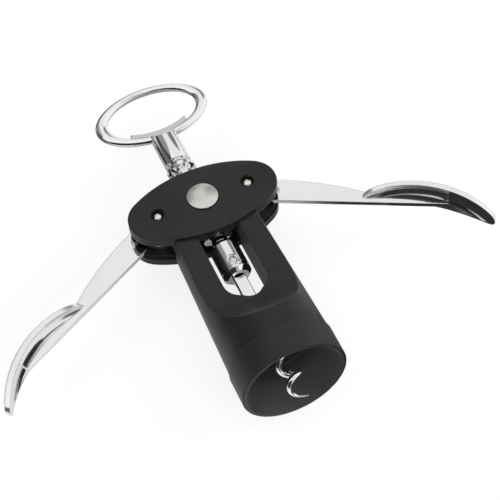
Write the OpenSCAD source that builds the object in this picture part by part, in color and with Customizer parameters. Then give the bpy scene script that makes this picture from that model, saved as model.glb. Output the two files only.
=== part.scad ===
// Wing corkscrew, lying on its back. Millimetres.
// The origin is the centre of the bell's mouth. +Y runs along the tool axis to the
// ring handle, +Z comes out of the front cover and +X is to the right.

/* [Bell] */
// Outer radius of the mouth rim
rim_r = 22.0; // [20:0.1:26]
// Length of the collar on the mouth of the bell
collar_len = 13.3; // [11:0.1:18]
// How far the collar stands proud of the bell above it
collar_proud = 0.5; // [0.3:0.1:1.2]
// Outer radius of the bell just above the collar
bell_r_low = 21.5; // [20.5:0.1:23]
// Outer radius of the bell at the height of the head's centre
bell_r_high = 18.8; // [18:0.1:20]
// Radius of the throat at the top of the mouth's cone
throat_r = 15.4; // [14.8:0.1:16.5]
// Length of the collar's tail inside the bell
tail_len = 4; // [3:0.5:5]
// Radius of the collar's tail
tail_r = 18.3; // [17.8:0.1:18.8]
// Height on the axis of the shoulder that stops the bottle's lip
lip_stop = 21; // [20:0.5:23]
// Radius of the seat round the bottle's lip
lip_r = 14.5; // [14.2:0.1:15]
// Flat width of the mouth rim
rim_land = 1.5; // [1:0.1:2.5]
// Radius of the bore that takes the cork
cork_r = 10.4; // [10:0.1:10.6]
// Height on the axis where the cork bore ends
cork_top = 50; // [46:0.5:54]

/* [Scooped faces and window] */
// Distance of the scooped flats from the axis
flat_z = 7.9; // [7.2:0.1:8.4]
// Radius of the scoop that runs the flat out to the bell
scoop_r = 35.5; // [32:0.5:40]
// Height on the axis where the scoop begins
scoop_y = 50; // [48:0.5:52]
// Half width of the through window
window_half = 9.1; // [8:0.1:9.6]
// Height on the axis of the window's lowest point
window_low = 38.3; // [36:0.1:42]

/* [Head] */
// Height of the head's centre on the axis
head_y = 89.9; // [88:0.1:92]
// Half length of the oval covers
head_a = 32.2; // [30:0.1:35]
// Half height of the oval covers
head_b = 16.5; // [15.5:0.1:18]
// Radius of the oval's ends
head_end_r = 11; // [9.5:0.1:12.5]
// Half gap between the two cheeks of the head
slot_half = 3.2; // [3:0.05:3.6]
// Thickness of each cheek of the head
cheek_t = 1.5; // [1.2:0.1:2]
// Thickness of a cover at its edge
cover_edge_t = 4.4; // [4:0.1:5]
// Rise of the front cover's crown above its edge
cover_crown = 2.4; // [1:0.1:2.6]
// Fall of the rear cover's flat back at its rim
rear_fall = 0.8; // [0:0.1:1.2]
// How far the cheeks are set in from the covers' outline
cheek_inset = 1.2; // [0.8:0.1:1.6]
// Radius of the button on the front cover
button_r = 6.5; // [6:0.1:7.4]
// How far the button stands proud of the cover
button_proud = 0.8; // [0.3:0.1:1]
// Radius of the button's crown
button_crown = 30; // [25:1:90]

/* [Levers] */
// Distance of each lever's pivot from the axis
pivot_x = 19.84; // [19.6:0.02:20.2]
// Radius of a pivot pin
pivot_r = 2.0; // [1.8:0.05:2.2]
// Radius of the recess round a pin's end
recess_r = 2.9; // [2.6:0.1:3.6]
// Depth of that recess below the cover's edge
recess_deep = 1.3; // [0.8:0.1:1.8]
// How far a pin's front end stands above the floor of its recess
pin_up = 1.4; // [0.6:0.1:1.6]
// Height of the dome on a pin's end
pin_dome = 0.9; // [0.5:0.1:1.2]
// Angle of the right lever below the X axis at rest
arm_drop = 27.8; // [26:0.1:29]
// Thickness of a lever's arm
arm_t = 2.0; // [1.6:0.1:3]
// Thickness of a lever's gear
gear_t = 5.6; // [5:0.1:5.9]
// Distance of the arm's straight edge below the pivot
arm_low = 2.5; // [2:0.1:4.6]
// Height of the arm's curved edge above the pivot at the head
arm_high = 8.3; // [7.6:0.1:8.8]
// Radius of that curved edge
arm_curve = 131; // [110:1:180]
// Distance from the pivot to the top of that curve
arm_top = 11; // [8:0.5:14]
// Length from the pivot to the web's end
web_len = 82.3; // [80:0.1:84]
// Radius of the thumb band's keel
band_r = 43.7; // [42:0.1:46]
// Thickness of the thumb band
band_t = 1.9; // [1.6:0.1:3]
// Half width of the thumb band at its middle
band_half = 6.3; // [5:0.1:7]
// Depth of the thumb band's hollow, from its rims to its keel
band_dish = 2.2; // [1:0.1:3]
// Distance along the arm from the pivot to the band's centre
band_u = 68.2; // [67:0.1:69]
// Depth of the band's centre below the pivot line
band_v = 36.3; // [36:0.1:38]
// Angle of the band's tip about its centre
band_tip = 40; // [38:0.5:44]
// Angle of the band's root about its centre
band_root = 118.5; // [112:0.5:121]

/* [Rack and pinion] */
// Teeth that a full pinion would have
pinion_teeth = 17; // [17:1:17]
// Radius of the pinion's pitch circle
pinion_r = 14.84; // [14.7:0.02:14.9]
// Height of a tooth above its pitch line
tooth_add = 1.25; // [1.1:0.05:1.35]
// Depth of a tooth below its pitch line
tooth_ded = 1.6; // [1.5:0.05:1.8]
// Flank angle of the teeth
flank_angle = 20; // [18:0.5:24]
// Play between meshed flanks
tooth_play = 0.3; // [0.2:0.05:0.4]
// Rings on the rack
rack_rings = 8; // [8:1:8]

/* [Spindle] */
// Radius of the spindle's rod
rod_r = 2.4; // [2.2:0.05:2.5]
// Radius of the worm socket
socket_r = 6.1; // [5.6:0.1:6.2]
// Length of the worm socket
socket_len = 16; // [15:0.1:17]
// Length of the shoulder between the socket and the rack
shoulder_len = 2; // [1:0.1:3]
// Radius of the rivet that holds the worm
rivet_r = 1.5; // [1.3:0.05:1.6]
// Height of the rivet above the socket's foot
rivet_up = 5.7; // [5:0.1:6.5]
// Depth of the pocket round the rivet's head
rivet_deep = 1.1; // [0.8:0.1:1.4]
// Radius of the neck under the ring
neck_r = 5.7; // [5.4:0.1:6]
// Height of the neck's foot above the pivots
neck_up = 28.3; // [28:0.1:30]
// How far the neck's block runs past the middle of the ring's band
neck_over = 0.8; // [0.4:0.1:1.2]
// How far the neck's block stands above the ring's face
neck_proud = 0.35; // [0.2:0.05:0.6]

/* [Ring handle] */
// Height of the ring's centre above the pivots
ring_up = 58.9; // [57:0.1:62]
// Half width of the ring
ring_a = 25.4; // [24:0.1:27]
// Half height of the ring
ring_b = 15.0; // [14:0.1:18]
// Width of the ring's band at its two ends
ring_w = 5.4; // [5:0.1:6.4]
// Width of the ring's band at its foot and top
ring_s = 2.8; // [2.4:0.1:4]
// Thickness of the ring's band
ring_t = 3.4; // [3:0.1:5]
// Radius of the cap lip's hollow edge
hook_r = 30; // [20:0.5:36]
// Depth of the cap lip at its middle
hook_deep = 4.2; // [4:0.1:8]
// Half width of the cap lip inside the ring
lip_half = 11.4; // [10:0.1:12]
// Thickness of the cap lip
lip_t = 2.0; // [1.6:0.1:2.4]

/* [Worm] */
// Radius of the worm's shank
shank_r = 2.8; // [2.6:0.05:3]
// Radius of the worm's wire
wire_r = 1.5; // [1.3:0.05:1.6]
// Mean radius of the worm's coil
coil_r = 3.4; // [3.2:0.1:3.6]
// Rise of the worm in one turn
coil_pitch = 10.7; // [10:0.1:11.5]
// Turns of the worm
coil_turns = 4; // [3.5:0.25:4.25]
// Height on the axis of the worm's point
worm_tip = -6.4; // [-8:0.1:-5]

/* [Hidden] */
$fn = 96;

run_gap = 0.05;                            // radial clearance of a turning fit
end_gap = 0.2;                             // end play of the rack on the spindle
seat_gap = 0.05;                           // clearance round a fixed piece
free_gap = 0.5;                            // clearance round a swinging gear
bore_gap = 0.3;                            // clearance round the rack's rings
groove = 0.35;                             // shadow gap round the button and the rivet
over = 1;                                  // how far a cut runs past a face
big = 200;                                 // longer than any cut needs
fine = 180;                                // facets of a wide arc

cover_in = slot_half + cheek_t;            // underside of a cover
cover_edge = cover_in + cover_edge_t;      // face of a cover at its edge
cover_top = cover_edge + cover_crown;      // crown of the front cover
recess_z = cover_edge - recess_deep;       // floor of a pin's recess
pin_z = recess_z + pin_up;                 // foot of the dome on a pin's front end
button_in = 3;                             // depth of the button's pocket
pitch = 2 * PI * pinion_r / pinion_teeth;  // spacing of the teeth
rack_r = pivot_x - pinion_r;               // pitch radius of the rack
ring_r = rack_r + tooth_add;               // outer radius of the rack's rings
core_r = rack_r - tooth_ded;               // radius between the rings
rings_below = 3;                           // rings under the pivots at rest
rack_low = head_y - rings_below * pitch - tooth_add;
neck_low = head_y + neck_up;               // foot of the neck
rack_high = neck_low - end_gap;
head_bore = ring_r + bore_gap;             // bore through the top of the head
gear_tip = pinion_r + tooth_add;           // outer radius of the pinion
gear_root = pinion_r - tooth_ded;          // radius at the foot of its teeth
collar_r = bell_r_low + collar_proud;      // outer radius at the collar's top
ring_y = head_y + ring_up;                 // centre of the ring
neck_top = ring_y - ring_b + ring_s / 2;   // middle of the ring's lowest part
neck_end = neck_top + neck_over;           // end of the neck's block
socket_top = rack_low - end_gap - shoulder_len;
socket_low = socket_top - socket_len;
rod_low = socket_top - 3;                  // the rod's foot in the socket
rod_high = neck_low + 6;                   // the rod's top in the neck
shank_top = socket_low + 10;               // the shank's top in the socket
rivet_y = socket_low + rivet_up;
rivet_z = socket_r - rivet_deep;           // floor of the rivet's pocket
plastic = [0.20, 0.19, 0.19];
chrome = [0.80, 0.82, 0.84];
satin = [0.66, 0.65, 0.62];

function unit(v) = v / norm(v);

// radius of the sphere whose cap has radius r and height h
function cap_r(r, h) = (r * r + h * h) / (2 * h);

// turns a shape drawn about Z so that it runs along the tool axis
module along_axis(y = 0) {
    translate([0, y, 0]) rotate([-90, 0, 0]) children();
}

// both faces of the tool, front and rear
module both_faces() {
    for (face = [0, 1]) mirror([0, 0, face]) children();
}

// both pivots, for holes that run along Z
module at_pivots() {
    for (side = [-1, 1]) translate([side * pivot_x, head_y, 0]) children();
}

// right through the tool, along Z
module through() {
    translate([0, 0, -big / 2]) linear_extrude(big) children();
}

// a section drawn in Y and Z, run right across the tool along X
module across() {
    rotate([90, 0, 90]) translate([0, 0, -big / 2]) linear_extrude(big) children();
}

// oval of four arcs that meet smoothly, half sizes a and b, end radius r
end_steps = 12;
side_steps = 16;
module oval(a, b, r) {
    side_r = (pow(a - r, 2) + b * b - r * r) / (2 * (b - r));
    lean = atan2(side_r - b, a - r);
    quarter = concat(
        [for (i = [0:end_steps]) let (t = lean * i / end_steps) [a - r + r * cos(t), r * sin(t)]],
        [for (i = [1:side_steps]) let (t = lean + (90 - lean) * i / side_steps)
            [side_r * cos(t), b - side_r + side_r * sin(t)]]);
    last = len(quarter) - 1;
    polygon(concat(quarter,
        [for (i = [last - 1:-1:0]) [-quarter[i].x, quarter[i].y]],
        [for (i = [1:last]) -quarter[i]],
        [for (i = [last - 1:-1:1]) [quarter[i].x, -quarter[i].y]]));
}

// the covers' outline, grown by g
module head_outline(g = 0) {
    translate([0, head_y]) oval(head_a + g, head_b + g, head_end_r + g);
}

// material above a scooped face, on one side of the bell
module scoop() {
    across() {
        translate([scoop_y, flat_z + scoop_r]) circle(scoop_r, $fn = fine);
        translate([scoop_y, flat_z]) square([big, big]);
    }
}

// window with a round foot
module window_outline() {
    foot_y = window_low + window_half;
    translate([0, foot_y]) circle(window_half);
    translate([-window_half, foot_y])
        square([2 * window_half, head_y - head_b / 2 - foot_y]);
}

module frame_housing() {
    color(plastic) difference() {
        union() {
            along_axis(collar_len)
                cylinder(h = head_y - collar_len, r1 = bell_r_low, r2 = bell_r_high);
            translate([0, 0, -cover_in]) linear_extrude(2 * cover_in) head_outline(-cheek_inset);
        }
        both_faces() {
            scoop();
            translate([0, 0, cover_in]) linear_extrude(big) head_outline(seat_gap);
        }
        through() window_outline();
        // socket for the collar's tail, seat for the bottle's lip and domed cork bore
        along_axis(-over) cylinder(h = collar_len + tail_len + over, r = tail_r + seat_gap);
        along_axis(-over) cylinder(h = lip_stop + over, r = lip_r);
        along_axis(-over) cylinder(h = cork_top - cork_r + over, r = cork_r);
        translate([0, cork_top - cork_r, 0]) sphere(cork_r);
        // room for the two gears and for the rack between them
        translate([0, 0, -slot_half]) linear_extrude(2 * slot_half) {
            at_pivots() circle(gear_tip + free_gap);
            translate([-window_half, head_y - head_b]) square([2 * window_half, head_b]);
        }
        along_axis(head_y - head_b) cylinder(h = 3 * head_b, r = head_bore);
        through() at_pivots() circle(pivot_r + seat_gap);
    }
}

// collar with a cone that finds the bottle's neck and a tail pressed into the bell
module bottle_collar() {
    edge = 0.7;
    color(plastic) along_axis() rotate_extrude() {
        translate([rim_r - edge, edge]) circle(edge, $fn = 32);
        polygon([[rim_r - rim_land, 0], [rim_r - edge, 0], [rim_r, edge],
                 [collar_r, collar_len - edge / 2], [collar_r - edge / 2, collar_len],
                 [tail_r, collar_len], [tail_r, collar_len + tail_len],
                 [throat_r, collar_len + tail_len], [throat_r, collar_len]]);
    }
}

// an oval cover with holes for the pins' ends: its face is at face_z and its rim at rim_z
module cover_plate(rim_z, face_z) {
    difference() {
        intersection() {
            translate([0, 0, cover_in]) linear_extrude(face_z - cover_in) head_outline();
            cover_barrel(rim_z);
        }
        at_pivots() {
            cylinder(h = big, r = pivot_r + seat_gap);
            translate([0, 0, recess_z]) cylinder(h = big, r = recess_r);
        }
        along_axis(head_y - 2 * head_b) cylinder(h = 4 * head_b, r = head_bore);
    }
}

// body whose top falls away by the crown to rim_z at the ends of both axes of the oval
module cover_barrel(rim_z) {
    bend_y = cap_r(head_b, cover_crown);
    bend_x = cap_r(head_a, cover_crown);
    translate([0, head_y, rim_z + cover_crown - bend_y]) rotate([0, 90, 0])
        rotate_extrude($fn = fine) intersection() {
            translate([bend_y - bend_x, 0]) circle(bend_x, $fn = 4 * fine);
            translate([0, -head_a - over]) square([bend_y + over, 2 * (head_a + over)]);
        }
}

module front_cover() {
    color(plastic) difference() {
        cover_plate(cover_edge, cover_top);
        translate([0, head_y, cover_top - button_in]) cylinder(h = big, r = button_r + groove);
    }
}

// the rear cover has a flat back that the tool can be laid on
module rear_cover() {
    color(plastic) mirror([0, 0, 1]) cover_plate(cover_edge - rear_fall, cover_edge);
}

module front_button() {
    face_z = cover_top + button_proud;
    color(satin) translate([0, head_y, 0]) intersection() {
        translate([0, 0, cover_top - button_in]) cylinder(h = button_in + button_proud, r = button_r);
        translate([0, 0, face_z - button_crown]) sphere(button_crown, $fn = 2 * fine);
    }
}

// pin from the rear recess to the front one, with domed ends
module pivot_pin(side) {
    ball = cap_r(pivot_r, pin_dome);
    color(satin) translate([side * pivot_x, head_y, 0]) {
        translate([0, 0, -recess_z]) cylinder(h = recess_z + pin_z, r = pivot_r);
        for (end = [[0, pin_z], [1, recess_z]]) mirror([0, 0, end[0]]) intersection() {
            translate([0, 0, end[1] + pin_dome - ball]) sphere(ball);
            translate([0, 0, end[1]]) cylinder(h = pin_dome + over, r = pivot_r);
        }
    }
}
module left_pivot_pin() { pivot_pin(-1); }
module right_pivot_pin() { pivot_pin(1); }

// involute flank of the pinion: the point at radius r on a tooth that points along +X
base_r = pinion_r * cos(flank_angle);
function inv(r) = let (c = base_r / r) 180 / PI * sqrt(max(0, 1 / (c * c) - 1)) - acos(min(1, c));
half_tooth = 90 / pinion_teeth - tooth_play / 4 / pinion_r * 180 / PI;
function flank(r, s) = let (a = half_tooth + inv(pinion_r) - inv(max(r, base_r)))
    [r * cos(s * a), r * sin(s * a)];

module gear_tooth() {
    steps = 6;
    low = max(gear_root, base_r);
    radii = [for (i = [0:steps]) low + (gear_tip - low) * i / steps];
    polygon(concat([[gear_root - over, 0]], [flank(gear_root, -1)], [for (r = radii) flank(r, -1)],
        [for (i = [steps:-1:0]) flank(radii[i], 1)], [flank(gear_root, 1)]));
}

// pinion teeth that face the rack over the lever's whole swing, in the lever's own
// frame: U runs out along the arm, V is square to it
first_tooth = -4;
last_tooth = 3;
tooth_step = 360 / pinion_teeth;
module gear_sector() {
    facing = 180 + arm_drop;
    for (k = [first_tooth:last_tooth]) rotate(facing + k * tooth_step) gear_tooth();
    difference() {
        circle(gear_root);
        rotate(facing + (last_tooth + 0.5) * tooth_step) square([big, big]);
        rotate(facing + (first_tooth - 0.5) * tooth_step - 90) square([big, big]);
    }
    circle(arm_high);
}

// outline of the flat arm, curved on top, and of the web that backs the thumb band
module arm_outline() {
    root_u = band_u + (band_r - band_t / 2) * cos(band_root);
    intersection() {
        translate([0, -arm_low]) square([root_u, big]);
        translate([arm_top, arm_high - arm_curve]) circle(arm_curve, $fn = 4 * fine);
    }
    intersection() {
        translate([root_u - over, -arm_low]) square([web_len - root_u + over, big]);
        translate([band_u, -band_v]) circle(band_r - band_t / 2, $fn = fine);
    }
}

// half width of the thumb band's leaf at share s of its length, from root to tip: fullest
// past the middle, with blunt ends
leaf_skew = 1.1;
leaf_full = 0.38;
leaf_end = 0.1;
leaf_steps = 28;
function leaf(s) = band_half * max(leaf_end, pow(sin(180 * pow(s, leaf_skew)), leaf_full));

// leaf laid out flat across the arc's chord, with its steps closer near the ends
module leaf_outline() {
    middle = (band_root + band_tip) / 2;
    shares = [for (i = [0:leaf_steps]) (1 - cos(180 * i / leaf_steps)) / 2];
    side = [for (s = shares)
        [band_r * sin(middle - band_root - (band_tip - band_root) * s), leaf(s)]];
    polygon(concat(side, [for (i = [leaf_steps:-1:0]) [side[i][0], -side[i][1]]]));
}

// thumb band: a dished strip turned on an arc, trimmed to the leaf
module thumb_band() {
    dish_r = cap_r(band_half, band_dish);
    translate([band_u, -band_v, 0]) intersection() {
        rotate_extrude($fn = fine) translate([band_r - dish_r, 0]) difference() {
            intersection() {
                circle(dish_r);
                translate([0, -band_half - over]) square([dish_r, 2 * (band_half + over)]);
            }
            circle(dish_r - band_t);
        }
        rotate([-90, 0, (band_root + band_tip) / 2 - 90])
            linear_extrude(band_r + over) leaf_outline();
    }
}

// one casting: gear, arm, web and thumb band
module lever(side) {
    color(chrome) mirror([side < 0 ? 1 : 0, 0, 0]) translate([pivot_x, head_y, 0])
        rotate([0, 0, -arm_drop]) difference() {
            union() {
                translate([0, 0, -gear_t / 2]) linear_extrude(gear_t) gear_sector();
                translate([0, 0, -arm_t / 2]) linear_extrude(arm_t) arm_outline();
                thumb_band();
            }
            translate([0, 0, -gear_t]) cylinder(h = 2 * gear_t, r = pivot_r + run_gap);
        }
}
module left_lever() { lever(-1); }
module right_lever() { lever(1); }

// round rack: a sleeve with ring teeth that slides with the spindle
module rack_sleeve() {
    bore = rod_r + run_gap;
    tip_half = (pitch - tooth_play) / 4 - tooth_add * tan(flank_angle);
    foot_half = (pitch - tooth_play) / 4 + tooth_ded * tan(flank_angle);
    color(chrome) along_axis() rotate_extrude() {
        translate([bore, rack_low]) square([core_r - bore, rack_high - rack_low]);
        for (k = [0:rack_rings - 1]) translate([0, head_y + (k - rings_below + 0.5) * pitch])
            polygon([[bore, -foot_half], [core_r, -foot_half], [ring_r, -tip_half],
                     [ring_r, tip_half], [core_r, foot_half], [bore, foot_half]]);
    }
}

// rod from the ring handle down to the worm socket, with a shoulder under the rack
module spindle_rod() {
    color(chrome) along_axis() {
        translate([0, 0, rod_low]) cylinder(h = rod_high - rod_low, r = rod_r);
        translate([0, 0, socket_top]) cylinder(h = rack_low - end_gap - socket_top, r = core_r);
    }
}

// the ring's section at angle a of its ellipse: a flattened round
ring_steps = 64;
ring_sides = 12;
roundness = 0.75;
function squared(c) = sign(c) * pow(abs(c), roundness);
function ring_section(a) = let (
    mid_a = ring_a - ring_w / 2, mid_b = ring_b - ring_s / 2,
    half = (ring_s + (ring_w - ring_s) * pow(cos(a), 2)) / 2,
    out = unit([mid_b * cos(a), mid_a * sin(a), 0]))
    [for (k = [0:ring_sides - 1]) let (b = 360 * k / ring_sides)
        [mid_a * cos(a), ring_y + mid_b * sin(a), 0]
        + out * (half * squared(cos(b))) + [0, 0, ring_t / 2 * squared(sin(b))]];

module ring_handle() {
    color(chrome) difference() {
        union() {
            skin([for (i = [0:ring_steps - 1]) ring_section(-360 * i / ring_steps)], loop = true);
            cap_lip();
            // neck with a chamfered foot and two flats that end in a block on the ring
            intersection() {
                along_axis(neck_low) {
                    cylinder(h = over, r1 = neck_r - over, r2 = neck_r);
                    translate([0, 0, over]) cylinder(h = neck_end - neck_low - over, r = neck_r);
                }
                neck_wedge();
            }
        }
        along_axis(neck_low - over) cylinder(h = rod_high - neck_low + over + seat_gap,
                                             r = rod_r + seat_gap);
    }
}

// lip that hooks under a crown cap, set back from the ring's middle
module cap_lip() {
    set_back = 0.6;
    translate([0, neck_top, -lip_t / 2 - set_back]) linear_extrude(lip_t) difference() {
        translate([-lip_half, 0]) square([2 * lip_half, hook_deep + ring_s]);
        translate([0, hook_deep + hook_r]) circle(hook_r);
    }
}

// faces of the neck: wide apart at its foot, a little thicker than the ring at its end
module neck_wedge() {
    foot_half = 0.88 * neck_r;
    end_half = ring_t / 2 + neck_proud;
    across() polygon([[neck_low - over, -foot_half], [neck_end, -end_half],
                      [neck_end, end_half], [neck_low - over, foot_half]]);
}

// socket that joins the rod and the worm, with a chamfered foot and top
module worm_socket() {
    foot = 1.6;
    top = 1;
    step = 0.6;
    color(chrome) difference() {
        along_axis() rotate_extrude() polygon([[0, socket_low], [socket_r - foot, socket_low],
            [socket_r, socket_low + foot], [socket_r, socket_low + foot + step],
            [socket_r - step, socket_low + foot + step], [socket_r - step, socket_low + 2 * foot],
            [socket_r, socket_low + 2 * foot], [socket_r, socket_top - top],
            [socket_r - top, socket_top], [0, socket_top]]);
        along_axis(socket_low - over)
            cylinder(h = shank_top - socket_low + 2 * over, r = shank_r + seat_gap);
        along_axis(rod_low - seat_gap) cylinder(h = socket_top, r = rod_r + seat_gap);
        translate([0, rivet_y, 0]) {
            translate([0, 0, -big / 2]) cylinder(h = big, r = rivet_r + seat_gap);
            both_faces() translate([0, 0, rivet_z]) cylinder(h = big, r = rivet_r + 2 * groove);
        }
    }
}

// rivet through the socket and the worm's shank
module worm_rivet() {
    head_r = rivet_r + groove;
    dome = 0.7;
    ball = cap_r(head_r, dome);
    color(satin) translate([0, rivet_y, 0]) {
        translate([0, 0, -rivet_z]) cylinder(h = 2 * rivet_z, r = rivet_r);
        both_faces() intersection() {
            translate([0, 0, rivet_z + dome - ball]) sphere(ball);
            translate([0, 0, rivet_z]) cylinder(h = dome + over, r = head_r);
        }
    }
}

// worm: a wire wound on a helix, swept as rings of points; it leaves the shank on the
// axis, widens to the coil over its first turn and thins to a point over its last
wire_sides = 8;
turn_steps = 20;
lead_turns = 0.25;                         // extra turn between the shank and the coil
start_turns = 0.6;                         // share of a turn over which it widens
thin_turns = 0.55;                         // share of a turn over which it thins
point_share = 0.12;                        // width left at the point
worm_end = -42;                            // angle of the point about the axis
worm_turns = coil_turns + lead_turns;
coil_top = worm_tip + worm_turns * coil_pitch;
worm_steps = ceil(worm_turns * turn_steps);
function ease(x) = let (c = min(1, max(0, x))) c * c * (3 - 2 * c);
function worm_angle(i) = worm_end + 360 * (i - worm_steps) / turn_steps;
function worm_at(i) = let (a = worm_angle(i), r = coil_r * ease(i / turn_steps / start_turns))
    [r * cos(a), coil_top + (worm_tip - coil_top) * i / worm_steps, r * sin(a)];
function worm_wire(i) = let (full = ease((worm_steps - i) / turn_steps / thin_turns))
    wire_r * (point_share + (1 - point_share) * full);
function worm_along(i) = unit(worm_at(min(i + 1, worm_steps)) - worm_at(max(i - 1, 0)));
function worm_side(i) = let (a = worm_angle(i), d = worm_along(i), side = [cos(a), 0, sin(a)])
    unit(side - (side * d) * d);
function worm_ring(i) = let (out = worm_side(i), up = cross(worm_along(i), out))
    [for (k = [0:wire_sides - 1]) worm_at(i)
        + worm_wire(i) * (out * cos(360 * k / wire_sides) + up * sin(360 * k / wire_sides))];

// closed skin over rings of points; a loop joins its last ring to its first
module skin(rings, loop = false) {
    n = len(rings[0]);
    m = len(rings);
    sides = [for (i = [0:m - (loop ? 1 : 2)], k = [0:n - 1])
        let (j = (k + 1) % n, a = i * n, b = ((i + 1) % m) * n)
        each [[a + k, b + k, b + j], [a + k, b + j, a + j]]];
    last = (m - 1) * n;
    caps = loop ? [] : [for (k = [0:n / 2 - 2]) let (j = n - 1 - k)
        each [[k, k + 1, j - 1], [k, j - 1, j],
              [last + j, last + j - 1, last + k + 1], [last + j, last + k + 1, last + k]]];
    polyhedron([for (r = rings) each r], concat(sides, caps));
}

module worm() {
    color(chrome) difference() {
        union() {
            skin([for (i = [0:worm_steps]) worm_ring(i)]);
            along_axis(coil_top - over) {
                cylinder(h = shank_top - coil_top + over, r = shank_r);
                sphere(shank_r);
            }
        }
        translate([0, rivet_y, -big / 2]) cylinder(h = big, r = rivet_r + seat_gap);
    }
}

frame_housing();
bottle_collar();
front_cover();
rear_cover();
front_button();
left_pivot_pin();
right_pivot_pin();
left_lever();
right_lever();
rack_sleeve();
spindle_rod();
ring_handle();
worm_socket();
worm();
worm_rivet();
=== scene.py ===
import math
import bpy
from mathutils import Matrix, Vector


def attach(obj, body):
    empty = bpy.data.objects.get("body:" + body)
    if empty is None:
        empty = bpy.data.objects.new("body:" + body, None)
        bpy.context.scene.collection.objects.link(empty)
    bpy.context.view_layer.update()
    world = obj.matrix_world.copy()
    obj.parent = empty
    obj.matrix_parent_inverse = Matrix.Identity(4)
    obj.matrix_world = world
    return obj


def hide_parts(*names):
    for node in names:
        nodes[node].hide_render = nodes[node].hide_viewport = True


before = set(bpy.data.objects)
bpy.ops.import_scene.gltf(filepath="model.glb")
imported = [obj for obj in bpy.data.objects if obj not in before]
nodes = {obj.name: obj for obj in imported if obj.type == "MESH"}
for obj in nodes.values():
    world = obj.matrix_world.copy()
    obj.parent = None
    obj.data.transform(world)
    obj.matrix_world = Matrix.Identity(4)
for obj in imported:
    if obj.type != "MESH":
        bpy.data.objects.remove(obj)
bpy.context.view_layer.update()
bpy.ops.object.select_all(action="DESELECT")
mm = 0.001                      # the frame is in metres, lengths below in mm
softEdgeSamples = 6             # rays of the shader's edge rounding
edgeSteps = 3                   # faces across an edge that is rounded in the mesh
smoothAngle = 35                # edges of new pieces that are sharper stay sharp, in degrees
print("frame loaded:", len(nodes), "nodes")


def newMaterial(name):
    mat = bpy.data.materials.new(name)
    mat.use_nodes = True
    tree = mat.node_tree
    tree.nodes.clear()
    shader = tree.nodes.new("ShaderNodeBsdfPrincipled")
    out = tree.nodes.new("ShaderNodeOutputMaterial")
    tree.links.new(shader.outputs["BSDF"], out.inputs["Surface"])
    return mat, tree, shader


def grain(tree, scale, detail, stretch=(1, 1, 1)):
    # noise in the object's own coordinates; scale is in waves per metre
    coord = tree.nodes.new("ShaderNodeTexCoord")
    mapping = tree.nodes.new("ShaderNodeMapping")
    mapping.inputs["Scale"].default_value = stretch
    noise = tree.nodes.new("ShaderNodeTexNoise")
    noise.inputs["Scale"].default_value = scale
    noise.inputs["Detail"].default_value = detail
    tree.links.new(coord.outputs["Object"], mapping.inputs["Vector"])
    tree.links.new(mapping.outputs["Vector"], noise.inputs["Vector"])
    return noise.outputs["Fac"]


def ramp(tree, fac, low, high, lowAt=0.3, highAt=0.7):
    # colours or grey values over a range of the noise
    node = tree.nodes.new("ShaderNodeValToRGB")
    node.color_ramp.elements[0].position = lowAt
    node.color_ramp.elements[1].position = highAt
    for element, value in zip(node.color_ramp.elements, (low, high)):
        element.color = (*value, 1) if isinstance(value, tuple) else (value, value, value, 1)
    tree.links.new(fac, node.inputs["Fac"])
    return node.outputs["Color"]


def smoothRange(tree, value, low, high, top=1.0):
    # 0 at low, top at high, and smooth between
    node = tree.nodes.new("ShaderNodeMapRange")
    node.interpolation_type = "SMOOTHSTEP"
    node.inputs["From Min"].default_value = low
    node.inputs["From Max"].default_value = high
    node.inputs["To Max"].default_value = top
    tree.links.new(value, node.inputs["Value"])
    return node.outputs["Result"]


def roundedBump(tree, shader, height, distance, edge):
    # fine relief over edges that are softened by the given radius
    bevel = tree.nodes.new("ShaderNodeBevel")
    bevel.samples = softEdgeSamples
    bevel.inputs["Radius"].default_value = edge * mm
    bump = tree.nodes.new("ShaderNodeBump")
    bump.inputs["Strength"].default_value = 1.0
    bump.inputs["Distance"].default_value = distance * mm
    tree.links.new(height, bump.inputs["Height"])
    tree.links.new(bevel.outputs["Normal"], bump.inputs["Normal"])
    tree.links.new(bump.outputs["Normal"], shader.inputs["Normal"])


def insideBell(tree, bore):
    # 1 on the bell's inner wall near its mouth, else 0: where light is painted into the colour
    coord = tree.nodes.new("ShaderNodeTexCoord")
    flat = tree.nodes.new("ShaderNodeVectorMath")
    flat.operation = "MULTIPLY"
    flat.inputs[1].default_value = (1, 0, 1)
    out = tree.nodes.new("ShaderNodeVectorMath")
    out.operation = "LENGTH"
    parts = tree.nodes.new("ShaderNodeSeparateXYZ")
    both = tree.nodes.new("ShaderNodeMath")
    both.operation = "MULTIPLY"
    tree.links.new(coord.outputs["Object"], flat.inputs[0])
    tree.links.new(flat.outputs["Vector"], out.inputs[0])
    tree.links.new(coord.outputs["Object"], parts.inputs["Vector"])
    tree.links.new(smoothRange(tree, out.outputs["Value"], bore["paintedLightStarts"] * mm,
                               bore["paintedLightFull"] * mm), both.inputs[0])
    tree.links.new(smoothRange(tree, parts.outputs["Y"], bore["ends"] * mm,
                               bore["full"] * mm), both.inputs[1])
    return both.outputs[0]


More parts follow.
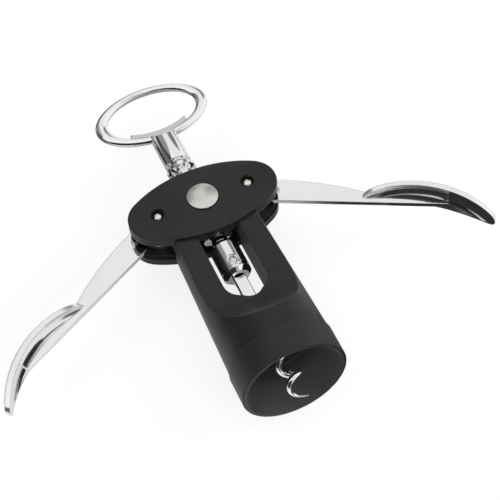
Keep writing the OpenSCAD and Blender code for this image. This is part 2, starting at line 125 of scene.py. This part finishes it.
def moulded(name, look):
    # moulded plastic: dark base, fine grain in the gloss and in the surface, and painted light
    # on the bell's inner wall near its mouth
    mat, tree, shader = newMaterial(name)
    cloud = grain(tree, look["cloud"], detail=3)
    speck = grain(tree, look["speck"], detail=2)
    # painted light: the bell's inner wall near its mouth gets a lighter colour that stands for
    # light reaching in, the outside keeps the dark base; 6, 7 and 2 are the mix's colour
    # sockets
    paintedLightMix = tree.nodes.new("ShaderNodeMix")
    paintedLightMix.data_type = "RGBA"
    tree.links.new(insideBell(tree, look["bore"]), paintedLightMix.inputs["Factor"])
    tree.links.new(ramp(tree, cloud, look["dark"], look["light"]), paintedLightMix.inputs[6])
    paintedLightMix.inputs[7].default_value = look["paintedLightFull"]
    tree.links.new(paintedLightMix.outputs[2], shader.inputs["Base Color"])
    tree.links.new(ramp(tree, speck, look["glossy"], look["matte"]), shader.inputs["Roughness"])
    shader.inputs["Specular IOR Level"].default_value = look["specular"]
    shader.inputs["Sheen Weight"].default_value = look["sheen"]
    shader.inputs["Sheen Roughness"].default_value = look["sheenSpread"]
    roundedBump(tree, shader, speck, look["relief"], look["edge"])
    return mat


def domed(tree, fine, relief, dome):
    # height in mm: the fine relief, less a fall that grows with the square of the radius
    coord = tree.nodes.new("ShaderNodeTexCoord")
    place = tree.nodes.new("ShaderNodeMapping")
    place.vector_type = "TEXTURE"
    place.inputs["Location"].default_value = (0, dome["height"] * mm, 0)
    place.inputs["Scale"].default_value = (dome["radius"] * mm, dome["radius"] * mm, 1)
    square = tree.nodes.new("ShaderNodeVectorMath")
    square.operation = "DOT_PRODUCT"
    fall, total = (tree.nodes.new("ShaderNodeMath") for _ in range(2))
    fall.operation, total.operation = "MULTIPLY", "MULTIPLY_ADD"
    fall.inputs[1].default_value = -dome["fall"]
    total.inputs[1].default_value = relief
    tree.links.new(coord.outputs["Object"], place.inputs["Vector"])
    for i in range(2):
        tree.links.new(place.outputs["Vector"], square.inputs[i])
    tree.links.new(square.outputs["Value"], fall.inputs[0])
    tree.links.new(fine, total.inputs[0])
    tree.links.new(fall.outputs[0], total.inputs[2])
    return total.outputs[0]


def metal(name, look):
    # plated or brushed metal: colour drifts slowly, gloss along the brushing
    mat, tree, shader = newMaterial(name)
    shader.inputs["Metallic"].default_value = 1.0
    cloud = grain(tree, look["cloud"], detail=3)
    brush = grain(tree, look["brush"], detail=3, stretch=look["stretch"])
    tree.links.new(ramp(tree, cloud, look["dark"], look["light"]), shader.inputs["Base Color"])
    tree.links.new(ramp(tree, brush, look["glossy"], look["matte"]), shader.inputs["Roughness"])
    height, distance = brush, look["relief"]
    if "dome" in look:
        height, distance = domed(tree, brush, look["relief"], look["dome"]), 1.0
    roundedBump(tree, shader, height, distance, look["edge"])
    return mat


softTouch = {
    "dark": (0.0112, 0.0098, 0.0097), "light": (0.0152, 0.0136, 0.0135), "cloud": 60,
    "speck": 2600, "glossy": 0.36, "matte": 0.46, "specular": 0.30,
    "relief": 0.008, "edge": 0.45, "sheen": 0.12, "sheenSpread": 0.3,
    # painted light: the lighter colour painted on the bell's inner wall near its mouth
    "paintedLightFull": (0.044, 0.042, 0.043, 1),
    # in mm: the radii where the painted light starts and is full, and the places along the axis
    # where it ends and is full
    "bore": {"paintedLightStarts": 20.8, "paintedLightFull": 20.6, "ends": 26, "full": 15.6},
}
collarPlastic = dict(softTouch, dark=(0.0150, 0.0138, 0.0140), light=(0.0196, 0.0182, 0.0185),
                     glossy=0.42, matte=0.52)
chromePlate = {
    "dark": (0.84, 0.85, 0.86), "light": (0.90, 0.905, 0.91), "cloud": 35,
    "brush": 900, "stretch": (1, 1, 1), "glossy": 0.05, "matte": 0.08,
    "relief": 0.0005, "edge": 0.25,
}
leverChrome = dict(chromePlate, edge=0.6, glossy=0.07, matte=0.11)
satinSteel = {
    "dark": (0.60, 0.585, 0.56), "light": (0.72, 0.70, 0.675), "cloud": 2200,
    "brush": 3500, "stretch": (1, 4, 1), "glossy": 0.20, "matte": 0.32,
    "relief": 0.002, "edge": 0.3,
}
buttonSteel = dict(satinSteel, dark=(0.60, 0.585, 0.56), light=(0.76, 0.745, 0.72), cloud=1100,
                   glossy=0.30, matte=0.40, brush=2600, relief=0.0035, edge=0.6,
                   dome={"height": 89.9, "radius": 6.5, "fall": 0.6})
nickelPin = dict(satinSteel, dark=(0.76, 0.73, 0.66), light=(0.86, 0.83, 0.76),
                 glossy=0.2, matte=0.3)
dullChrome = dict(chromePlate, dark=(0.58, 0.58, 0.58), light=(0.65, 0.65, 0.65),
                  glossy=0.16, matte=0.26)

bodyPlastic = moulded("bodyPlastic", softTouch)
ringPlastic = moulded("collarPlastic", collarPlastic)
chrome = metal("chromePlate", chromePlate)
castChrome = metal("leverChrome", leverChrome)
lipChrome = metal("dullChrome", dullChrome)
satin = metal("satinSteel", satinSteel)
brushed = metal("buttonSteel", buttonSteel)
nickel = metal("nickelPin", nickelPin)

finishes = {
    "frame_housing": bodyPlastic, "front_cover": bodyPlastic, "rear_cover": bodyPlastic,
    "bottle_collar": ringPlastic, "front_button": brushed, "left_pivot_pin": nickel,
    "right_pivot_pin": nickel, "left_lever": castChrome, "right_lever": castChrome,
    "rack_sleeve": chrome, "spindle_rod": chrome, "ring_handle": chrome,
    "worm_socket": chrome, "worm": chrome, "worm_rivet": satin,
}


def smoothGroup(joinWithin, sharpAngle):
    # node group for a CAD node's loose triangles: joins them, and smooths all edges but
    # the sharp ones
    group = bpy.data.node_groups.new("smoothByAngle", "GeometryNodeTree")
    for way in ("INPUT", "OUTPUT"):
        group.interface.new_socket("Geometry", in_out=way, socket_type="NodeSocketGeometry")
    start = group.nodes.new("NodeGroupInput")
    join = group.nodes.new("GeometryNodeMergeByDistance")
    join.inputs["Distance"].default_value = joinWithin
    faces = group.nodes.new("GeometryNodeSetShadeSmooth")
    faces.domain = "FACE"
    angle = group.nodes.new("GeometryNodeInputMeshEdgeAngle")
    gentle = group.nodes.new("FunctionNodeCompare")
    gentle.operation = "LESS_THAN"
    gentle.inputs[1].default_value = math.radians(sharpAngle)
    edges = group.nodes.new("GeometryNodeSetShadeSmooth")
    edges.domain = "EDGE"
    end = group.nodes.new("NodeGroupOutput")
    group.links.new(start.outputs[0], join.inputs[0])
    group.links.new(join.outputs[0], faces.inputs[0])
    group.links.new(faces.outputs[0], edges.inputs[0])
    group.links.new(angle.outputs["Unsigned Angle"], gentle.inputs[0])
    group.links.new(gentle.outputs[0], edges.inputs["Shade Smooth"])
    group.links.new(edges.outputs[0], end.inputs[0])
    return group


smoothing = smoothGroup(joinWithin=0.002 * mm, sharpAngle=30)
for name, mat in finishes.items():
    node = nodes[name]
    node.data.materials.clear()
    node.data.materials.append(mat)
    node.modifiers.new("smoothing", "NODES").node_group = smoothing
    node.modifiers.new("evenShading", "WEIGHTED_NORMAL").keep_sharp = True
print("materials set on", len(finishes), "nodes")


def asPiece(name, node, mat):
    # names the new object, gives it its finish, and lets it stand for its CAD node on the
    # spindle
    piece = bpy.context.object
    piece.name = name
    piece.data.materials.clear()
    piece.data.materials.append(mat)
    bpy.ops.object.transform_apply(location=True, rotation=True, scale=True)
    bpy.ops.object.shade_smooth_by_angle(angle=math.radians(smoothAngle))
    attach(piece, "spindle")
    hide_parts(node)
    bpy.ops.object.select_all(action="DESELECT")


ring = {
    # in mm: centre and radii of the ellipse that the band's middle follows, half the band's
    # width at its ends and half its thickness; then how finely the mesh is divided
    "centre": (0, 148.8, 0), "across": 22.7, "up": 13.39, "halfWidth": 2.7, "halfThick": 1.7,
    "segments": 192, "sides": 32,
}


def buildRing(spec):
    bpy.ops.mesh.primitive_torus_add(
        major_segments=spec["segments"], minor_segments=spec["sides"],
        major_radius=spec["across"] * mm, minor_radius=spec["halfWidth"] * mm)
    bpy.ops.transform.resize(value=(1, spec["up"] / spec["across"],
                                    spec["halfThick"] / spec["halfWidth"]))
    bpy.ops.transform.translate(value=[c * mm for c in spec["centre"]])
    asPiece("ringBand", "ring_handle", chrome)


def cutFlat(co, no):
    bpy.ops.mesh.select_all(action="SELECT")
    bpy.ops.mesh.bisect(plane_co=[c * mm for c in co], plane_no=no,
                        use_fill=True, clear_outer=True)


def softenEdges(width, angle=30):
    # rounds the edges that are sharper than the angle
    bpy.ops.mesh.select_all(action="DESELECT")
    bpy.ops.mesh.edges_select_sharp(sharpness=math.radians(angle))
    bpy.ops.mesh.bevel(offset=width * mm, segments=edgeSteps, affect="EDGES")
    bpy.ops.object.mode_set(mode="OBJECT")


neck = {
    # in mm: radius, foot and end along the axis, half thickness at the foot and the end, and
    # how wide its edges are rounded
    "radius": 5.7, "foot": 118.2, "end": 136.0, "footHalf": 5.0, "endHalf": 2.05,
    "edge": 0.25, "sides": 128,
}


def buildNeck(spec):
    # a round bar along the axis with two flats that near each other towards the ring
    length = spec["end"] - spec["foot"]
    bpy.ops.mesh.primitive_cylinder_add(
        vertices=spec["sides"], radius=spec["radius"] * mm, depth=length * mm,
        location=(0, (spec["foot"] + spec["end"]) / 2 * mm, 0), rotation=(math.pi / 2, 0, 0))
    bpy.ops.object.transform_apply(location=True, rotation=True)
    bpy.ops.object.mode_set(mode="EDIT")
    bpy.ops.mesh.select_mode(type="EDGE")
    fall = spec["footHalf"] - spec["endHalf"]
    for face in (1, -1):
        cutFlat((0, spec["end"], face * spec["endHalf"]), (0, fall, face * length))
    softenEdges(spec["edge"])
    asPiece("ringNeck", "ring_handle", chrome)


cutter = {"sides": 360, "depth": 12}     # depth in mm, more than any plate is thick


def cutPlate(plate, way, centre, radii):
    # cuts a plate to, or by, an oval seen from the front
    bpy.ops.mesh.primitive_cylinder_add(
        vertices=cutter["sides"], radius=mm, depth=mm, scale=(*radii, cutter["depth"]),
        location=(centre[0] * mm, centre[1] * mm, 0))
    oval = bpy.context.object
    bpy.ops.object.select_all(action="DESELECT")
    plate.select_set(True)
    bpy.context.view_layer.objects.active = plate
    cut = plate.modifiers.new("cut", "BOOLEAN")
    cut.operation = way
    cut.object = oval
    bpy.ops.object.modifier_apply(modifier="cut")
    bpy.data.objects.remove(oval)


lip = {
    # in mm: half width, foot, top, height of the hollow and its radius, thickness, set back,
    # edge, and how far past the middle of the ring's band it reaches; sharp is in degrees
    "half": 12.6, "foot": 133.0, "top": 142.6, "hollow": 139.4, "radius": 30.0,
    "thick": 2.0, "back": -0.6, "edge": 0.2, "within": 0.8, "sharp": 40,
}


def buildLip(spec):
    height = spec["top"] - spec["foot"]
    bpy.ops.mesh.primitive_cube_add(
        size=mm, location=(0, (spec["foot"] + spec["top"]) / 2 * mm, spec["back"] * mm),
        scale=(2 * spec["half"], height, spec["thick"]))
    plate = bpy.context.object
    cutPlate(plate, "DIFFERENCE", (0, spec["hollow"] + spec["radius"]), (spec["radius"],) * 2)
    cutPlate(plate, "INTERSECT", ring["centre"][:2],
             (ring["across"] + spec["within"], ring["up"] + spec["within"]))
    bpy.ops.object.mode_set(mode="EDIT")
    bpy.ops.mesh.select_mode(type="EDGE")
    softenEdges(spec["edge"], spec["sharp"])
    asPiece("capLip", "ring_handle", lipChrome)


worm = {
    # in mm and degrees: the helix from the shank to the point and the round shank, as in
    # the solid, and half the distance of the shank's two flats
    "coil": 3.4, "pitch": 10.7, "turns": 4.25, "tip": -6.4, "endAngle": -42, "wire": 1.5,
    "widens": 0.6, "thins": 0.55, "point": 0.12, "steps": 64,
    "shank": 2.8, "shankTop": 63.5, "coilTop": 39.075,
    "shankHalf": 1.6, "rimEdge": 0.15, "sides": 96, "roundness": 6,
}


def ease(x):
    x = min(1.0, max(0.0, x))
    return x * x * (3 - 2 * x)


def buildWorm(spec):
    # wire swept along the helix, and above it the shank with its two flats
    curve = bpy.data.curves.new("wormCoil", "CURVE")
    curve.dimensions = "3D"
    curve.bevel_depth = spec["wire"] * mm
    curve.bevel_resolution = spec["roundness"]
    curve.use_fill_caps = True
    count = int(spec["turns"] * spec["steps"])
    top = spec["tip"] + spec["turns"] * spec["pitch"]
    spline = curve.splines.new("POLY")
    spline.points.add(count)
    for i, point in enumerate(spline.points):
        turn = i / spec["steps"]
        angle = math.radians(spec["endAngle"] + 360 * (turn - spec["turns"]))
        out = spec["coil"] * ease(turn / spec["widens"])
        along = top + (spec["tip"] - top) * i / count
        point.co = (out * math.cos(angle) * mm, along * mm, out * math.sin(angle) * mm, 1)
        left = (count - i) / spec["steps"] / spec["thins"]
        point.radius = spec["point"] + (1 - spec["point"]) * ease(left)
    coil = bpy.data.objects.new("wormCoil", curve)
    bpy.context.collection.objects.link(coil)
    coil.select_set(True)
    bpy.context.view_layer.objects.active = coil
    bpy.ops.object.convert(target="MESH")
    bpy.ops.mesh.primitive_cylinder_add(
        vertices=spec["sides"], radius=spec["shank"] * mm,
        depth=(spec["shankTop"] - spec["coilTop"]) * mm,
        location=(0, (spec["shankTop"] + spec["coilTop"]) / 2 * mm, 0),
        rotation=(math.pi / 2, 0, 0))
    bpy.ops.object.transform_apply(location=True, rotation=True)
    bpy.ops.object.mode_set(mode="EDIT")
    bpy.ops.mesh.select_mode(type="EDGE")
    for face in (1, -1):
        cutFlat((0, 0, face * spec["shankHalf"]), (0, 0, face))
    softenEdges(spec["rimEdge"])
    coil.select_set(True)
    bpy.context.view_layer.objects.active = coil
    bpy.ops.object.join()
    asPiece("wormWire", "worm", chrome)


buildRing(ring)
buildNeck(neck)
buildLip(lip)
buildWorm(worm)
print("smooth pieces made")


def lightPathMix(tree, rays):
    # 1 where any of these rays looks, else 0
    path = tree.nodes.new("ShaderNodeLightPath")
    total = path.outputs[rays[0]]
    for ray in rays[1:]:
        add = tree.nodes.new("ShaderNodeMath")
        add.operation = "MAXIMUM"
        tree.links.new(total, add.inputs[0])
        tree.links.new(path.outputs[ray], add.inputs[1])
        total = add.outputs[0]
    return total


paperRoughness = 0.9


def matte(tree, colour, glow=0.0):
    shader = tree.nodes.new("ShaderNodeBsdfPrincipled")
    shader.inputs["Base Color"].default_value = colour
    shader.inputs["Roughness"].default_value = paperRoughness
    shader.inputs["Specular IOR Level"].default_value = 0.0
    shader.inputs["Emission Color"].default_value = (1, 1, 1, 1)
    shader.inputs["Emission Strength"].default_value = glow
    return shader


def mixed(tree, fac, first, second):
    mix = tree.nodes.new("ShaderNodeMixShader")
    tree.links.new(fac, mix.inputs["Fac"])
    tree.links.new(first.outputs[0], mix.inputs[1])
    tree.links.new(second.outputs[0], mix.inputs[2])
    return mix


# painted shade seen only in reflections: ovals on the floor, and the floor beyond a wide oval,
# that polished parts see dark in place of the white paper; in mm, with their centre, radii and
# how dark they are
paintedShadePatches = [
    {"at": (45, -40), "radii": (42, 115), "depth": 1.0},
    {"at": (88, 38), "radii": (34, 28), "depth": 1.0},
    {"at": (0, 142), "radii": (22, 22), "depth": 0.6},
    {"at": (-150, 262), "radii": (168, 168), "depth": 1.0},
    {"at": (60, 75), "radii": (280, 200), "depth": 0.75, "outside": True},
]
# where a patch begins and is full, as shares of its radii
patchEdge = {"begins": 1.15, "full": 0.8}
outsideEdge = {"begins": 0.9, "full": 1.1}


def paintedShadeMask(tree, patches):
    # 1 on the patches of painted shade, else 0
    coord = tree.nodes.new("ShaderNodeTexCoord")
    total = None
    for patch in patches:
        place = tree.nodes.new("ShaderNodeMapping")
        place.vector_type = "TEXTURE"
        place.inputs["Location"].default_value = [c * mm for c in patch["at"]] + [0]
        place.inputs["Scale"].default_value = [r * mm for r in patch["radii"]] + [1]
        length = tree.nodes.new("ShaderNodeVectorMath")
        length.operation = "LENGTH"
        tree.links.new(coord.outputs["Object"], place.inputs["Vector"])
        tree.links.new(place.outputs["Vector"], length.inputs[0])
        edge = outsideEdge if patch.get("outside") else patchEdge
        mask = smoothRange(tree, length.outputs["Value"], edge["begins"], edge["full"],
                           patch["depth"])
        if total is not None:
            larger = tree.nodes.new("ShaderNodeMath")
            larger.operation = "MAXIMUM"
            tree.links.new(total, larger.inputs[0])
            tree.links.new(mask, larger.inputs[1])
            mask = larger.outputs[0]
        total = mask
    return total


studio = {
    "floorSize": 6000, "floorDrop": -22.3, "floorColour": (0.9, 0.9, 0.9, 1),
    "paperGlow": 0.80, "paperShade": (0.22, 0.22, 0.22, 1), "ambient": 0.5, "aim": (0, 75, 0),
    # colour of the painted shade that polished parts see on the floor
    "paintedShadeColour": (0.03, 0.03, 0.03, 1),
}


def buildFloor(spec):
    # white paper: it lights the object as paper does, is seen near white with a shadow, and
    # polished parts see it with patches of painted shade
    bpy.ops.mesh.primitive_plane_add(size=spec["floorSize"] * mm,
                                     location=(0, 0, spec["floorDrop"] * mm))
    floor = bpy.context.object
    floor.name = "floor"
    mat = bpy.data.materials.new("floorPaper")
    mat.use_nodes = True
    tree = mat.node_tree
    tree.nodes.clear()
    out = tree.nodes.new("ShaderNodeOutputMaterial")
    paper = matte(tree, spec["floorColour"])
    polished = mixed(tree, paintedShadeMask(tree, paintedShadePatches), paper,
                     matte(tree, spec["paintedShadeColour"]))
    seen = matte(tree, spec["paperShade"], spec["paperGlow"])
    inMetal = mixed(tree, lightPathMix(tree, ["Is Glossy Ray"]), paper, polished)
    rays = lightPathMix(tree, ["Is Camera Ray", "Is Transmission Ray"])
    tree.links.new(mixed(tree, rays, inMetal, seen).outputs[0], out.inputs["Surface"])
    floor.data.materials.append(mat)


lamps = {
    # place in mm, size in mm, watts
    "keyLamp": {"place": (-350, 250, 700), "size": (700, 500), "watts": 1.4},
    "rightLamp": {"place": (750, 0, 420), "size": (500, 500), "watts": 3.0},
    "frontLamp": {"place": (0, -650, 500), "size": (700, 400), "watts": 3.6},
}


def buildLamps(specs, aim):
    for name, spec in specs.items():
        place = Vector(spec["place"]) * mm
        bpy.ops.object.light_add(type="AREA", location=place)
        lamp = bpy.context.object
        lamp.name = name
        lamp.data.shape = "RECTANGLE"
        lamp.data.size, lamp.data.size_y = (s * mm for s in spec["size"])
        lamp.data.energy = spec["watts"]
        lamp.visible_glossy = False
        towards = Vector(aim) * mm - place
        lamp.rotation_euler = towards.to_track_quat("-Z", "Y").to_euler()


# what polished parts see above the floor: a white room with dark and bright regions, each
# with a direction, the cosines where it ends and is full, and its light
roomLight = 1.0
roomRegions = [
    {"towards": (0.193, 0.553, 0.81), "ends": 0.86, "full": 0.985, "light": 0.89},
    {"towards": (-0.60, -0.77, 0.17), "ends": 0.60, "full": 0.78, "light": 0.03},
    {"towards": (0.205, -0.89, 0.405), "ends": 0.975, "full": 0.995, "light": 0.15},
    {"towards": (0.33, -0.49, 0.81), "ends": 0.965, "full": 0.99, "light": 0.42},
    {"towards": (-0.68, 0.57, 0.47), "ends": 0.90, "full": 0.965, "light": 0.04},
    {"towards": (-1.0, 0.15, 0.1), "ends": 0.80, "full": 0.92, "light": 0.15},
    {"towards": (-0.15, 0.95, 0.1), "ends": 0.86, "full": 0.95, "light": 0.22},
    {"towards": (-0.40, 0.68, 0.61), "ends": 0.94, "full": 0.985, "light": 0.30},
    {"towards": (0.56, 0.69, 0.46), "ends": 0.95, "full": 0.985, "light": 0.22},
]


def roomStrength(tree, light, regions):
    # strength of the room by direction
    coord = tree.nodes.new("ShaderNodeTexCoord")
    total = None
    for region in regions:
        dot = tree.nodes.new("ShaderNodeVectorMath")
        dot.operation = "DOT_PRODUCT"
        dot.inputs[1].default_value = Vector(region["towards"]).normalized()
        tree.links.new(coord.outputs["Generated"], dot.inputs[0])
        near = smoothRange(tree, dot.outputs["Value"], region["ends"], region["full"])
        mix = tree.nodes.new("ShaderNodeMix")
        mix.inputs["A"].default_value = light
        mix.inputs["B"].default_value = region["light"]
        tree.links.new(near, mix.inputs["Factor"])
        if total is not None:
            tree.links.new(total, mix.inputs["A"])
        total = mix.outputs["Result"]
    return total


def buildWorld(spec):
    # soft even light; a camera sees white, and polished parts see the room
    world = bpy.data.worlds.new("studioWorld")
    bpy.context.scene.world = world
    world.use_nodes = True
    tree = world.node_tree
    tree.nodes.clear()
    out = tree.nodes.new("ShaderNodeOutputWorld")
    soft, room, seen = (tree.nodes.new("ShaderNodeBackground") for _ in range(3))
    soft.inputs["Strength"].default_value = spec["ambient"]
    seen.inputs["Strength"].default_value = 1.0
    tree.links.new(roomStrength(tree, roomLight, roomRegions), room.inputs["Strength"])
    below = soft
    for rays, background in ((["Is Glossy Ray"], room),
                             (["Is Camera Ray", "Is Transmission Ray"], seen)):
        below = mixed(tree, lightPathMix(tree, rays), below, background)
    for background in (soft, room, seen):
        background.inputs["Color"].default_value = (1, 1, 1, 1)
    tree.links.new(below.outputs[0], out.inputs["Surface"])


buildFloor(studio)
buildLamps(lamps, studio["aim"])
buildWorld(studio)
print("studio built")


cameraSpec = {
    # lengths in mm; right and up are directions in the frame
    "place": (-123.416, -315.501, 556.039),
    "right": (0.914056, -0.401673, -0.056225),
    "up": (0.356505, 0.729577, 0.583629),
    "lens": 122.01, "sensor": 36, "nearest": 10, "farthest": 20000,
}
bpy.ops.object.camera_add()
camera = bpy.context.object
camera.name = "photoCamera"
right, up = Vector(cameraSpec["right"]), Vector(cameraSpec["up"])
turn = Matrix((right, up, right.cross(up))).transposed()
camera.matrix_world = Matrix.Translation(Vector(cameraSpec["place"]) * mm) @ turn.to_4x4()
camera.data.lens = cameraSpec["lens"]
camera.data.sensor_width = cameraSpec["sensor"]
camera.data.clip_start = cameraSpec["nearest"] * mm
camera.data.clip_end = cameraSpec["farthest"] * mm
bpy.context.scene.camera = camera
bpy.context.scene.view_settings.view_transform = "Standard"
print("camera set")

bpy.context.view_layer.update()
print("scene ready")
